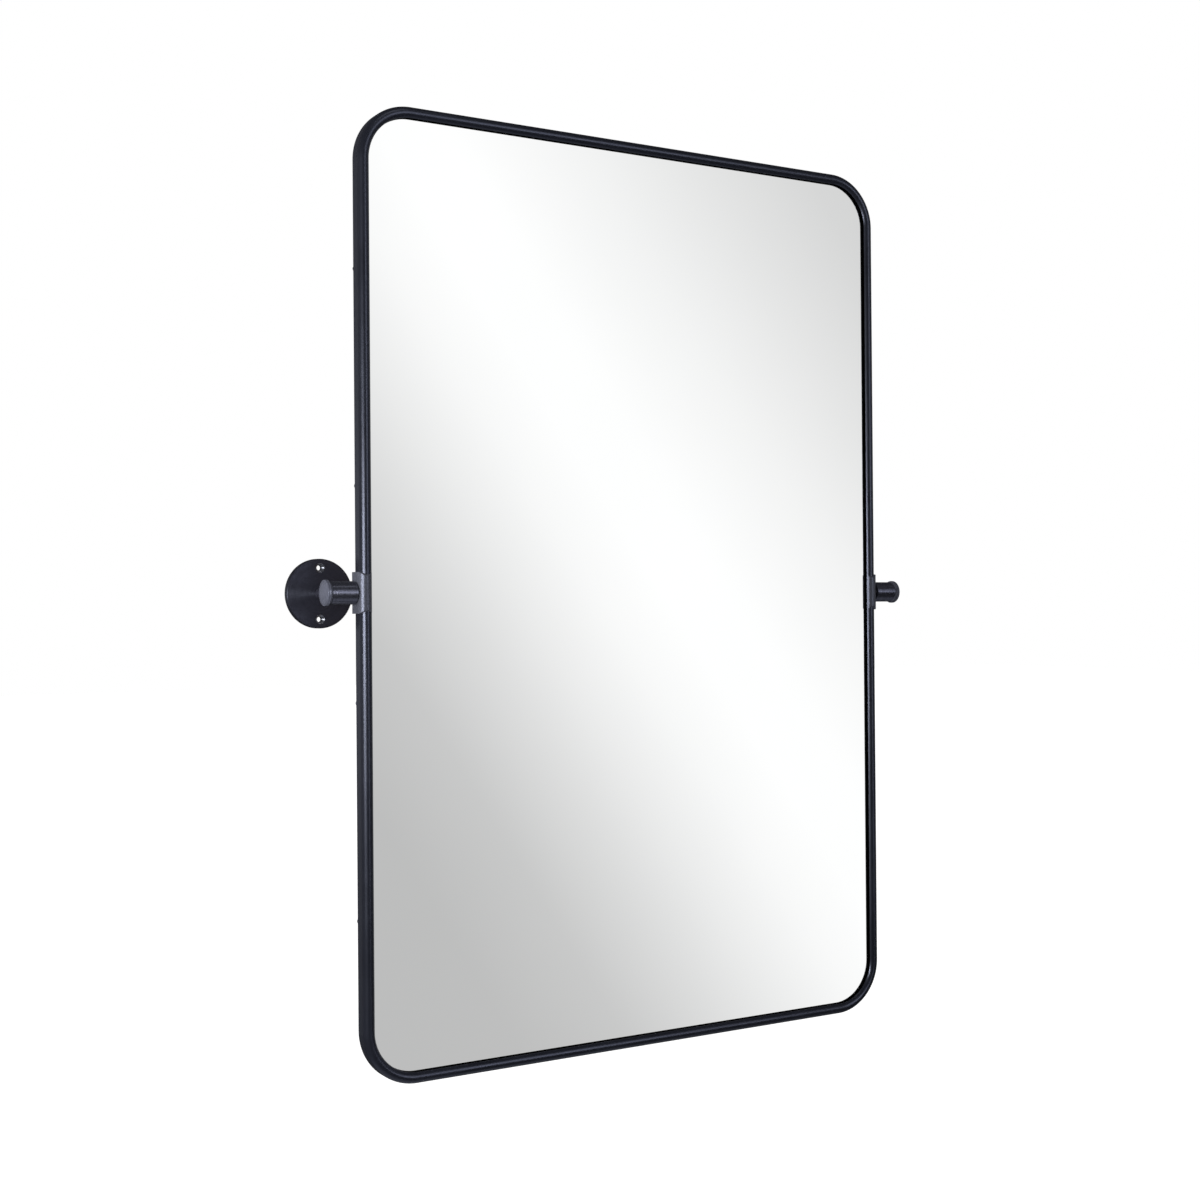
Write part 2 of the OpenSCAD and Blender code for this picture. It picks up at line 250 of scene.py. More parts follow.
def shade(colour, share):
    """The colour times share, still opaque."""
    return tuple(c * share for c in colour[:3]) + (1,)


def rail_coat():
    """Satin black powder coat: fine orange peel, slow changes of gloss and a little dust."""
    settings = {"Specular IOR Level": 0.62, "Specular Tint": RAIL_SHEEN_TINT}
    coat, tree, shader, place = finish_nodes("satin_black_coat", settings)
    peel = noise(tree, place, RAIL_PEEL, 2)
    drift = noise(tree, place, RAIL_DRIFT, 3)
    dust = noise(tree, place, RAIL_DUST, 1)
    tint(tree, drift, shader.inputs["Base Color"], shade(RAIL_BLACK, 0.85), shade(RAIL_BLACK, 1.2))
    vary(tree, drift, shader.inputs["Roughness"], *RAIL_ROUGH)
    emboss(tree, shader, [(peel, 0.04 * MM, 0.35), (dust, 0.01 * MM, 0.2)])
    return coat


def lay_in_mirror(mesh, rear):
    """Turns a mesh drawn in the mirror's plane, +z towards the room, and puts its z = 0 at y = rear."""
    middle = (rail_low.z + rail_high.z) / 2
    mesh.transform(Matrix.Translation((0, rear, middle)) @ Matrix.Rotation(math.pi / 2, 4, "X"))


def clean_mesh(mesh, sharp=RAIL_SHARP):
    """Merges doubles, turns the faces outwards and shades smooth across edges under sharp degrees."""
    shape = bmesh.new()
    shape.from_mesh(mesh)
    bmesh.ops.remove_doubles(shape, verts=shape.verts, dist=JOIN_WITHIN)
    bmesh.ops.recalc_face_normals(shape, faces=shape.faces)
    shape.to_mesh(mesh)
    shape.free()
    mesh.shade_smooth()
    mesh.set_sharp_from_angle(angle=math.radians(sharp))


def add_piece(name, mesh, finish, body, slot, *stands_for):
    """Shows a mesh as a piece that rides on a body and stands for CAD nodes."""
    mesh.materials.clear()
    mesh.materials.append(finish)
    piece = placed(name, mesh)
    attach(piece, body)
    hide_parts(*stands_for)
    return piece


def weigh_normals(piece):
    """Keeps flat faces flat where they meet an eased edge."""
    weighing = piece.modifiers.new("flat faces", "WEIGHTED_NORMAL")
    weighing.keep_sharp = True
    weighing.weight = 100


rail_mesh = grown_mesh(
    outline_mesh("rail section", rail_section()),
    sweep_tree(),
    {**rail_path, "Corner Steps": RAIL_CORNER_STEPS},
)
lay_in_mirror(rail_mesh, rail_high.y)
clean_mesh(rail_mesh)
rail = add_piece("rail", rail_mesh, rail_coat(), "mirror", "black_frame", "frame")
weigh_normals(rail)


# ---- Glass and what holds it ------------------------------------------------------------------
# A 4 mm pane of float glass, silvered on its back, lies on foam tape behind the rail's lip. Its
# reflecting face shows where the eye sees the silver through the glass. A card sheet and a fibre
# board fill the rail behind it. They and the tape are plain cut sheets, so the CAD solids show.
PANE_CORNER = 47.5 * MM
PANE_CORNER_STEPS = 24
SILVER_DEPTH = 2.3 * MM
PANE_EDGE = 0.2 * MM
FLAT_PART_SHARP = 60
PANE_DRIFT = 4
PANE_CLOUDS = 60
PANE_HAZE = 0.003
GLASS_TONE = (0.945, 0.95, 0.948, 1)
GLASS_TONE_LOW = (0.93, 0.937, 0.935, 1)
FOAM_CELLS = 2500
FOAM_ROUGH = (0.8, 0.95)
FOAM_BLACK = (0.012, 0.012, 0.013, 1)
FIBRE_MOTTLE = 45
FIBRE_MOTTLE_SHARE = 0.45
FIBRE_ROUGH = (0.7, 0.9)
CARD_FLECKS = (900, 250)
BOARD_FLECKS = (700, 260)
CARD_BROWN = (0.33, 0.22, 0.12, 1)
BOARD_BROWN = (0.17, 0.105, 0.058, 1)


def silvered_glass():
    """Clear silvering with a very faint change of tone, and a haze too thin to blur what it shows."""
    settings = {"Metallic": 1, "Specular IOR Level": 0.5}
    glass, tree, shader, place = finish_nodes("silvered_glass", settings)
    tone = noise(tree, place, PANE_DRIFT, 2)
    haze = noise(tree, place, PANE_CLOUDS, 3)
    tint(tree, tone, shader.inputs["Base Color"], GLASS_TONE_LOW, GLASS_TONE)
    vary(tree, haze, shader.inputs["Roughness"], 0, PANE_HAZE, 0.45, 0.8)
    return glass


def mesh_from(name, shape):
    """Turns a finished shape into a mesh, and frees it."""
    mesh = bpy.data.meshes.new(name)
    shape.to_mesh(mesh)
    shape.free()
    return mesh


def ease_edges(shape, edge, sharp, clamp=False):
    """Eases the edges of a shape that turn by more than sharp degrees."""
    rims = [e for e in shape.edges if e.calc_face_angle(0) > math.radians(sharp)]
    easing = {"segments": 2, "profile": 0.5, "affect": "EDGES", "clamp_overlap": clamp}
    bmesh.ops.bevel(shape, geom=rims, offset=edge, **easing)


def raised_corners(shape, faces):
    """Extrudes faces, and returns the corners of the new ones, still to be moved."""
    raised = bmesh.ops.extrude_face_region(shape, geom=faces)
    return [v for v in raised["geom"] if isinstance(v, bmesh.types.BMVert)]


def eased_mesh(name, shape, edge):
    """Mesh of a flat part, its faces turned outwards and its rims eased."""
    bmesh.ops.recalc_face_normals(shape, faces=shape.faces)
    ease_edges(shape, edge, FLAT_PART_SHARP)
    return mesh_from(name, shape)


def sheet_mesh(name, outline, thickness, edge):
    """Flat sheet, z from 0 to thickness, its rims eased by edge."""
    shape = bmesh.new()
    face = shape.faces.new([shape.verts.new((p.x, p.y, 0)) for p in outline])
    for corner in raised_corners(shape, [face]):
        corner.co.z = thickness
    return eased_mesh(name, shape, edge)


def foam():
    """Closed cell foam: matt, with small open cells."""
    material, tree, shader, place = finish_nodes("black_foam", {"Specular IOR Level": 0.3})
    cells = noise(tree, place, FOAM_CELLS, 2)
    tint(tree, cells, shader.inputs["Base Color"], shade(FOAM_BLACK, 0.6), shade(FOAM_BLACK, 1.5))
    vary(tree, cells, shader.inputs["Roughness"], *FOAM_ROUGH)
    emboss(tree, shader, [(cells, 0.2 * MM, 0.6)])
    return material


def reckon(tree, operation, *values):
    """Result of a math operation on values, each a socket or a number."""
    step = tree.nodes.new("ShaderNodeMath")
    step.operation = operation
    for socket, value in zip(step.inputs, values):
        if isinstance(value, (int, float)):
            socket.default_value = value
        else:
            tree.links.new(value, socket)
    return step.outputs[0]


def pressed_fibre(name, colour, flecks):
    """Pulp or wood fibre pressed flat: flecks drawn out along x, on a mottled ground.

    Flecks gives how many there are to a metre, across them and along them.
    """
    across, along = flecks
    material, tree, shader, place = finish_nodes(name, {"Specular IOR Level": 0.25})
    fibres = noise(tree, place, 1, 6, (along, across, across))
    mottle = noise(tree, place, FIBRE_MOTTLE, 4)
    ground = reckon(tree, "MULTIPLY_ADD", mottle, FIBRE_MOTTLE_SHARE, fibres)
    base = shader.inputs["Base Color"]
    tint(tree, ground, base, shade(colour, 0.6), shade(colour, 1.3), 0.5, 0.95)
    vary(tree, fibres, shader.inputs["Roughness"], *FIBRE_ROUGH)
    emboss(tree, shader, [(fibres, 0.08 * MM, 0.5)])
    return material


def dress(node, finish):
    """Gives a CAD solid that shows its finish, in every material slot it has."""
    for material_slot in cad_nodes[node].material_slots:
        material_slot.material = finish


pane_low, pane_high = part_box("glass")
pane_x = (pane_high.x - pane_low.x) / 2
pane_z = (pane_high.z - pane_low.z) / 2
pane_corners = [(x * pane_x, z * pane_z, PANE_CORNER) for x, z in ((-1, -1), (1, -1), (1, 1), (-1, 1))]
pane_mesh = sheet_mesh(
    "pane",
    eased_outline(pane_corners, PANE_CORNER_STEPS),
    pane_high.y - pane_low.y - SILVER_DEPTH,
    PANE_EDGE,
)
lay_in_mirror(pane_mesh, pane_high.y)
clean_mesh(pane_mesh)
pane = add_piece("silvered_pane", pane_mesh, silvered_glass(), "mirror", "silvered_glass", "glass")
weigh_normals(pane)
dress("glazing_tape", foam())
dress("packing_sheet", pressed_fibre("grey_brown_card", CARD_BROWN, CARD_FLECKS))
dress("backing_board", pressed_fibre("fibre_board", BOARD_BROWN, BOARD_FLECKS))


# ---- Rear clips -------------------------------------------------------------------------------
# Twelve pressed steel clips hold the board: four on each upright and two on each cross rail. Each
# has a stiffening bead along it, is zinc plated, and is screwed to the rail's rear face.
CLIP_LENGTH = 18 * MM
CLIP_WIDTH = 14 * MM
CLIP_STEEL = 0.9 * MM
CLIP_CORNER = 3 * MM
CLIP_START = 1 * MM
CLIP_BEAD = 0.3 * MM
CLIP_BEAD_STEPS = (-1.8 * MM, -0.9 * MM, 0.9 * MM, 1.8 * MM)
CLIP_BEAD_HALF = 1 * MM
CLIP_LENGTH_STEPS = (-4 * MM, 0, 4 * MM)
CLIP_BEAD_REACH = 5 * MM
CLIP_REAR_CORNER = 1 * MM
CLIP_CORNER_STEPS = 6
CLIP_EDGE = 0.15 * MM
CLIPS_UPRIGHT = 4
CLIPS_ACROSS = 2
SCREW_INSET = 3 * MM
SCREW_HEAD = 5.6 * MM
SCREW_HEAD_RISE = 1.8 * MM
SCREW_SHANK = 3 * MM
SCREW_REACH = 8 * MM
SCREW_TIP = 0.5 * MM
SCREW_STEPS = 32
HEAD_STEPS = 6
HEAD_FLAT = 0.45
CROSS_WIDTH = 0.7 * MM
CROSS_LENGTH = 3.2 * MM
CROSS_DEPTH = 1 * MM
TURNED_STEPS = 128
ON_AXIS = 0.0001 * MM
SPANGLE = 260
PLATING_SPREAD = 0.14
SCRATCHES = (3000, 3000, 300)
ZINC = (0.62, 0.63, 0.65, 1)
ZINC_DULL = (0.42, 0.43, 0.46, 1)


def plated(name, dull, bright, rough, metallic=1):
    """Plated or blackened metal: soft spangle, fine scratches along the part, duller patches."""
    material, tree, shader, place = finish_nodes(name, {"Metallic": metallic})
    spangle = noise(tree, place, SPANGLE, 3)
    scratch = noise(tree, place, 1, 4, SCRATCHES)
    tint(tree, spangle, shader.inputs["Base Color"], dull, bright)
    vary(tree, spangle, shader.inputs["Roughness"], rough, rough + PLATING_SPREAD)
    emboss(tree, shader, [(scratch, 0.02 * MM, 0.3), (spangle, 0.03 * MM, 0.2)])
    return material


def clip_outline():
    """Outline of a clip, x inwards over the board, with its two free corners well rounded."""
    far = CLIP_START + CLIP_LENGTH
    half = CLIP_WIDTH / 2
    corners = [(CLIP_START, -half, CLIP_REAR_CORNER), (far, -half, CLIP_CORNER)]
    corners += [(far, half, CLIP_CORNER), (CLIP_START, half, CLIP_REAR_CORNER)]
    return eased_outline(corners, CLIP_CORNER_STEPS)


def pressed_clip():
    """Clip on the plane z = 0, its underside down: a plate with a bead along it and an eased rim."""
    shape = bmesh.new()
    rim = [shape.verts.new((p.x, p.y, 0)) for p in clip_outline()]
    shape.faces.new(rim)
    middle = CLIP_START + CLIP_LENGTH / 2
    lines = [((middle + x, 0, 0), (1, 0, 0)) for x in CLIP_LENGTH_STEPS]
    lines += [((0, y, 0), (0, 1, 0)) for y in CLIP_BEAD_STEPS]
    for point, across in lines:
        whole = shape.verts[:] + shape.edges[:] + shape.faces[:]
        bmesh.ops.bisect_plane(shape, geom=whole, plane_co=point, plane_no=across)
    for corner in raised_corners(shape, shape.faces[:]):
        beaded = corner.co.x > middle - CLIP_BEAD_REACH and abs(corner.co.y) < CLIP_BEAD_HALF
        corner.co.z = CLIP_STEEL + (CLIP_BEAD if beaded else 0)
    return eased_mesh("pressed clip", shape, CLIP_EDGE)


def turned_mesh(name, outline, steps=TURNED_STEPS):
    """Solid turned round z from an outline of (radius, z), closed or from axis to axis.

    The mesh gets a map: u is the turn round the axis and v is the length along the outline in metres.
    """
    shape = bmesh.new()
    layer = shape.loops.layers.uv.new("turning")
    points = [Vector(p) for p in outline]
    if points[0].x > ON_AXIS:
        points.append(points[0])
    lengths = [0.0]
    for near, far in zip(points, points[1:]):
        lengths.append(lengths[-1] + (far - near).length)
    rings = []
    for point in points:
        if point.x < ON_AXIS:
            rings.append([shape.verts.new((0, 0, point.y))] * steps)
            continue
        angles = [2 * math.pi * k / steps for k in range(steps)]
        round_it = [(point.x * math.cos(a), point.x * math.sin(a), point.y) for a in angles]
        rings.append([shape.verts.new(place) for place in round_it])
    for i in range(len(rings) - 1):
        for k in range(steps):
            n = (k + 1) % steps
            corners = [
                (rings[i][k], k, i),
                (rings[i][n], k + 1, i),
                (rings[i + 1][n], k + 1, i + 1),
                (rings[i + 1][k], k, i + 1),
            ]
            kept = [c for j, c in enumerate(corners) if c[0] is not corners[j - 1][0]]
            face = shape.faces.new([c[0] for c in kept])
            for loop, (_, turn_step, row) in zip(face.loops, kept):
                loop[layer].uv = (turn_step / steps, lengths[row])
    bmesh.ops.remove_doubles(shape, verts=shape.verts, dist=ON_AXIS)
    bmesh.ops.recalc_face_normals(shape, faces=shape.faces)
    return mesh_from(name, shape)


def cut_from(whole_mesh, cutter_mesh):
    """Mesh that is left when one mesh is cut out of another."""
    piece = placed("whole", whole_mesh)
    cutter = placed("cutter", cutter_mesh)
    cut = piece.modifiers.new("cut", "BOOLEAN")
    cut.object = cutter
    cut.solver = "EXACT"
    cut.use_self = True
    left = bpy.data.meshes.new_from_object(piece.evaluated_get(bpy.context.evaluated_depsgraph_get()))
    bpy.data.objects.remove(piece)
    bpy.data.objects.remove(cutter)
    return left


def pan_head_screw():
    """Pan head screw with a cross recess and no map: head up on z = 0, shank down."""
    half_head = SCREW_HEAD / 2
    outline = [(0, SCREW_HEAD_RISE)]
    for k in range(1, HEAD_STEPS + 1):
        angle = math.pi / 2 * k / HEAD_STEPS
        rise = SCREW_HEAD_RISE * (HEAD_FLAT + (1 - HEAD_FLAT) * math.cos(angle))
        outline.append((half_head * math.sin(angle), rise))
    half_shank = SCREW_SHANK / 2
    outline += [(half_head, 0), (half_shank, 0), (half_shank, SCREW_TIP - SCREW_REACH)]
    outline += [(half_shank - SCREW_TIP, -SCREW_REACH), (0, -SCREW_REACH)]
    blank = turned_mesh("pan head screw", outline, SCREW_STEPS)
    blank.uv_layers.remove(blank.uv_layers["turning"])
    cross = bmesh.new()
    for length, width in ((CROSS_LENGTH, CROSS_WIDTH), (CROSS_WIDTH, CROSS_LENGTH)):
        size = Matrix.Diagonal((length, width, 2 * CROSS_DEPTH, 1))
        slot_place = Matrix.Translation((0, 0, SCREW_HEAD_RISE)) @ size
        bmesh.ops.create_cube(cross, size=1, matrix=slot_place)
    return cut_from(blank, mesh_from("cross", cross))


def clip_rows_tree():
    """Repeats the geometry it is given in even rows along the four rails, turned to face inwards."""
    sizes = {**path_sizes, "On Uprights": "Int", "On Cross Rails": "Int", "Finish": "Material"}
    tree, inputs, outputs = new_tree("clip rows", sizes)
    add, link, given = tree.nodes.new, tree.links.new, inputs.outputs
    rows = add("GeometryNodeJoinGeometry")
    for turn in range(4):
        upright = turn % 2 == 0
        across = given["Width" if upright else "Height"]
        along = given["Height" if upright else "Width"]
        count = given["On Uprights" if upright else "On Cross Rails"]
        bends = reckon(tree, "MULTIPLY", given["Corner Radius"], 2)
        straight = reckon(tree, "SUBTRACT", along, bends)
        pitch = reckon(tree, "DIVIDE", straight, count)
        first = reckon(tree, "MULTIPLY", reckon(tree, "SUBTRACT", pitch, straight), 0.5)
        start, offset = add("ShaderNodeCombineXYZ"), add("ShaderNodeCombineXYZ")
        link(reckon(tree, "MULTIPLY", across, -0.5), start.inputs["X"])
        link(first, start.inputs["Y"])
        link(pitch, offset.inputs["Y"])
        row = add("GeometryNodeMeshLine")
        link(count, row.inputs["Count"])
        link(start.outputs[0], row.inputs["Start Location"])
        link(offset.outputs[0], row.inputs["Offset"])
        repeat = add("GeometryNodeInstanceOnPoints")
        link(row.outputs[0], repeat.inputs["Points"])
        link(given["Geometry"], repeat.inputs["Instance"])
        turned = add("GeometryNodeTransform")
        turned.inputs["Rotation"].default_value = (0, 0, turn * math.pi / 2)
        link(repeat.outputs[0], turned.inputs["Geometry"])
        link(turned.outputs[0], rows.inputs[0])
    end_tree(tree, rows.outputs[0], inputs, outputs)
    return tree


def round_the_rails(mesh, tree, height):
    """Sets a small part at every clip's place, height behind the rail's rear face."""
    sizes = {**rail_path, "On Uprights": CLIPS_UPRIGHT, "On Cross Rails": CLIPS_ACROSS}
    rows = grown_mesh(mesh, tree, sizes)
    rows.transform(Matrix.Rotation(math.pi, 4, "Y"))
    lay_in_mirror(rows, rail_high.y + height)
    clean_mesh(rows)
    return rows


clip_rows = clip_rows_tree()
screw_mesh = pan_head_screw()
screw_mesh.transform(Matrix.Translation((SCREW_INSET, 0, 0)))
zinc = plated("zinc_plated_clip", ZINC_DULL, ZINC, 0.3)
screw_zinc = plated("zinc_plated_screw", ZINC_DULL, ZINC, 0.22)
clip_mesh = round_the_rails(pressed_clip(), clip_rows, 0)
screws_mesh = round_the_rails(screw_mesh, clip_rows, CLIP_STEEL)
add_piece("rear_clips", clip_mesh, zinc, "mirror", "zinc_steel", "retaining_clips")
add_piece("rear_clip_screws", screws_mesh, screw_zinc, "mirror", "zinc_steel", "clip_screws")


# ---- Saddles ----------------------------------------------------------------------------------
# A saddle of steel strip, pressed round the nose of each upright and thinned there, carries the
# pivot pin. Its rear flange takes two countersunk screws. Its coat is coarser than the rail's, with
# rubbed patches, and painted light makes it lighter grey at the side.
SADDLE_EDGE = 0.25 * MM
SADDLE_FLAT = 0.5
SADDLE_SHARP = 35
SADDLE_CREASE = 40
SADDLE_GRAIN = 2200
SADDLE_WEAR = 800
SADDLE_WEAR_SHARE = 0.6
SADDLE_ROUGH = (0.26, 0.36)
SADDLE_NOSE = 300 * MM
SADDLE_SIDE = 305.5 * MM
SADDLE_BLACK = (0.027, 0.028, 0.034, 1)
SADDLE_GREY = (0.084, 0.087, 0.105, 1)
SCREW_RUBBING = 900
SCREW_ROUGH = (0.3, 0.45)
SCREW_BLACK = (0.05, 0.052, 0.058, 1)
PIN_STEEL = (0.6, 0.61, 0.64, 1)
PIN_STEEL_DULL = (0.44, 0.45, 0.48, 1)


def eased_copy(node, edge):
    """Copy of a CAD solid's mesh, its loose triangles joined into faces and its sharp edges eased."""
    shape = bmesh.new()
    shape.from_mesh(cad_nodes[node].data)
    bmesh.ops.remove_doubles(shape, verts=shape.verts, dist=JOIN_WITHIN)
    flat = math.radians(SADDLE_FLAT)
    bmesh.ops.dissolve_limit(shape, angle_limit=flat, verts=shape.verts, edges=shape.edges)
    ease_edges(shape, edge, SADDLE_SHARP, clamp=True)
    mesh = mesh_from(node + " eased", shape)
    clean_mesh(mesh, SADDLE_CREASE)
    return mesh


def saddle_coat():
    """Grainy black coat over pressed steel with rubbed patches, and painted light: lighter grey at its outer
    side.
    """
    settings = {"Specular IOR Level": 0.62, "Specular Tint": RAIL_SHEEN_TINT}
    coat, tree, shader, place = finish_nodes("grainy_black_coat", settings)
    grain = noise(tree, place, SADDLE_GRAIN, 3)
    worn = noise(tree, place, SADDLE_WEAR, 4)
    across = tree.nodes.new("ShaderNodeSeparateXYZ")
    tree.links.new(place, across.inputs[0])
    outwards = reckon(tree, "ABSOLUTE", across.outputs["X"])
    # painted light: the colour turns lighter grey from the nose to the outer side, on top of the rubbed
    # patches
    lit_side = spread(tree, outwards, 0, 0.5, SADDLE_NOSE, SADDLE_SIDE)
    rubbed = reckon(tree, "MULTIPLY_ADD", worn, SADDLE_WEAR_SHARE, lit_side)
    tint(tree, rubbed, shader.inputs["Base Color"], SADDLE_BLACK, SADDLE_GREY, 0.15, 0.95)
    vary(tree, grain, shader.inputs["Roughness"], *SADDLE_ROUGH)
    emboss(tree, shader, [(grain, 0.12 * MM, 0.55), (worn, 0.06 * MM, 0.4)])
    return coat


def blackened_screw():
    """Black oxide on steel: dark, slightly glossy and a little rubbed."""
    black, tree, shader, place = finish_nodes("black_oxide_screw", {"Metallic": 1})
    rubbed = noise(tree, place, SCREW_RUBBING, 3)
    tint(tree, rubbed, shader.inputs["Base Color"], shade(SCREW_BLACK, 0.7), shade(SCREW_BLACK, 1.8))
    vary(tree, rubbed, shader.inputs["Roughness"], *SCREW_ROUGH)
    emboss(tree, shader, [(rubbed, 0.02 * MM, 0.3)])
    return black


saddle_finish = saddle_coat()
screw_finish = blackened_screw()
pin_finish = plated("ground_steel_pin", PIN_STEEL_DULL, PIN_STEEL, 0.18)
for side in ("left", "right"):
    node = "saddle_" + side
    saddle_mesh = eased_copy(node, SADDLE_EDGE)
    saddle = add_piece("saddle_shell_" + side, saddle_mesh, saddle_finish, "mirror", "cast_black", node)
    weigh_normals(saddle)
    dress("saddle_screws_" + side, screw_finish)
    dress("pivot_pin_" + side, pin_finish)


# ---- Wall plates and posts --------------------------------------------------------------------
# A turned steel plate on each side is screwed to the wall through two countersunk holes. A screw
# from its back draws a round post against its middle. Both are turned and chemically blackened.
PLATE_RADIUS = 33 * MM
PLATE_THICK = 6 * MM
PLATE_EDGE = 1.2 * MM
PLATE_BACK_EDGE = 0.3 * MM
PLATE_EDGE_STEPS = 6
WALL_HOLE_RADIUS = 2.5 * MM
WALL_SINK_RADIUS = 4.6 * MM
WALL_HOLE_OFFSET = 24.4 * MM
POST_SCREW_BORE = 3.2 * MM
POST_HEAD_RADIUS = 6 * MM
POST_HEAD_SUNK = 0.3 * MM
HOLE_STEPS = 48
SINK_BURR = 0.05 * MM
SINK_METAL = 0.9
TURNED_RINGS = (3, 6000, 1)
TURNED_BANDS = (1.5, 900, 1)
TURNED_PATCHES = 420
TURNED_SPREAD = 0.08
RING_DEPTH = 0.01 * MM
PLATE_RIM_END = 6.6 * MM
RIM_ROUGH = 0.8
SINK_STEEL = (0.26, 0.265, 0.29, 1)
RIM_BLACK = (0.005, 0.005, 0.007, 1)
PLATE_BLACK = (0.015, 0.015, 0.021, 1)
PLATE_BLACK_LIGHT = (0.022, 0.022, 0.03, 1)


def mixed(tree, factor, first, second, way="MIX"):
    """Mix of two colours, each a socket, a fixed colour or a fixed grey level."""
    mix = tree.nodes.new("ShaderNodeMixRGB")
    mix.blend_type = way
    for socket, value in zip(mix.inputs, (factor, first, second)):
        if isinstance(value, tuple):
            socket.default_value = value
        elif not isinstance(value, (int, float)):
            tree.links.new(value, socket)
        elif socket.type == "RGBA":
            socket.default_value = (value, value, value, 1)
        else:
            socket.default_value = value
    return mix.outputs["Color"]


def turning_map(tree):
    """The map of a turned mesh: u round its axis, v along its outline in metres."""
    map_place = tree.nodes.new("ShaderNodeUVMap")
    map_place.uv_map = "turning"
    return map_place.outputs[0]


def turned_finish(name, metallic, dark, light, rough, streak, rim=0):
    """Surface with the fine rings a lathe leaves, which draw its highlights out across the rings.

    Up to rim, a length along the outline in metres, it is left matt and darker.
    """
    settings = {"Metallic": metallic, "Anisotropic": streak, "Anisotropic Rotation": 0.25}
    settings["Specular Tint"] = RAIL_SHEEN_TINT if metallic == 0 else (1, 1, 1, 1)
    settings["Specular IOR Level"] = 0.36 if metallic == 0 else 0.5
    material, tree, shader, place = finish_nodes(name, settings)
    around = tree.nodes.new("ShaderNodeTangent")
    around.direction_type = "UV_MAP"
    around.uv_map = "turning"
    tree.links.new(around.outputs[0], shader.inputs["Tangent"])
    lathe = turning_map(tree)
    rings = noise(tree, lathe, 1, 3, TURNED_RINGS)
    bands = noise(tree, lathe, 1, 2, TURNED_BANDS)
    patches = noise(tree, place, TURNED_PATCHES, 4)
    tint(tree, bands, shader.inputs["Base Color"], dark, light)
    smooth, coarse = rough - TURNED_SPREAD, rough + TURNED_SPREAD
    vary(tree, patches, shader.inputs["Roughness"], smooth, coarse)
    if rim:
        along = tree.nodes.new("ShaderNodeSeparateXYZ")
        tree.links.new(lathe, along.inputs[0])
        matt = spread(tree, along.outputs["Y"], RIM_ROUGH, 0, rim - MM, rim)
        satin = shader.inputs["Roughness"].links[0].from_socket
        tree.links.new(reckon(tree, "MAXIMUM", satin, matt), shader.inputs["Roughness"])
        inside = spread(tree, along.outputs["Y"], 0, 1, rim - MM, rim)
        turned = shader.inputs["Base Color"].links[0].from_socket
        tree.links.new(mixed(tree, inside, RIM_BLACK, turned), shader.inputs["Base Color"])
    emboss(tree, shader, [(rings, RING_DEPTH, 0.5)])
    return material


def bare_sinks(material, centre):
    """Lets bare steel show in the screw sinks, which are cut after the plate is blackened."""
    tree = material.node_tree
    shader = tree.nodes["Principled BSDF"]
    from_hole = tree.nodes.new("ShaderNodeTexCoord").outputs["Object"]
    to_hole = (centre, 0, WALL_HOLE_OFFSET)
    for operation, values in (("ABSOLUTE", ()), ("SUBTRACT", to_hole), ("MULTIPLY", (1, 0, 1))):
        step = tree.nodes.new("ShaderNodeVectorMath")
        step.operation = operation
        tree.links.new(from_hole, step.inputs[0])
        if values:
            step.inputs[1].default_value = values
        from_hole = step.outputs["Vector"]
    reach = tree.nodes.new("ShaderNodeVectorMath")
    reach.operation = "LENGTH"
    tree.links.new(from_hole, reach.inputs[0])
    black = shader.inputs["Base Color"].links[0].from_socket
    middle = (WALL_SINK_RADIUS + WALL_HOLE_RADIUS) / 2
    half = (WALL_SINK_RADIUS - WALL_HOLE_RADIUS) / 2 - SINK_BURR
    cut = reckon(tree, "COMPARE", reach.outputs["Value"], middle, half)
    tree.links.new(mixed(tree, cut, black, SINK_STEEL), shader.inputs["Base Color"])
    vary(tree, cut, shader.inputs["Metallic"], 0, SINK_METAL, 0, 1)


def plate_outline():
    """Closed outline of the plate: back rim, rounded front rim, bore and the post screw's seat."""
    seat_depth = POST_HEAD_SUNK + POST_HEAD_RADIUS - POST_SCREW_BORE
    return eased_outline(
        [
            (PLATE_RADIUS, 0, PLATE_BACK_EDGE),
            (PLATE_RADIUS, PLATE_THICK, PLATE_EDGE),
            (POST_SCREW_BORE, PLATE_THICK, 0),
            (POST_SCREW_BORE, seat_depth, 0),
            (POST_HEAD_RADIUS, POST_HEAD_SUNK, 0),
            (POST_HEAD_RADIUS, 0, 0),
        ],
        PLATE_EDGE_STEPS,
    )


def wall_hole_cutter():
    """Two countersunk holes, above and below the middle of the plate."""
    cone = PLATE_THICK - (WALL_SINK_RADIUS - WALL_HOLE_RADIUS)
    outline = [(0, -MM), (WALL_HOLE_RADIUS, -MM), (WALL_HOLE_RADIUS, cone), (WALL_SINK_RADIUS, PLATE_THICK)]
    outline += [(WALL_SINK_RADIUS, PLATE_THICK + MM), (0, PLATE_THICK + MM)]
    both = bmesh.new()
    for offset in (-WALL_HOLE_OFFSET, WALL_HOLE_OFFSET):
        hole = turned_mesh("wall hole", outline, HOLE_STEPS)
        hole.transform(Matrix.Translation((0, offset, 0)))
        both.from_mesh(hole)
    return mesh_from("wall holes", both)


def on_wall(mesh, x):
    """Turns a mesh so that its z runs out of the wall, and centres it at x, level with the tilt axis."""
    mesh.transform(Matrix.Translation((x, 0, 0)) @ Matrix.Rotation(math.pi / 2, 4, "X"))


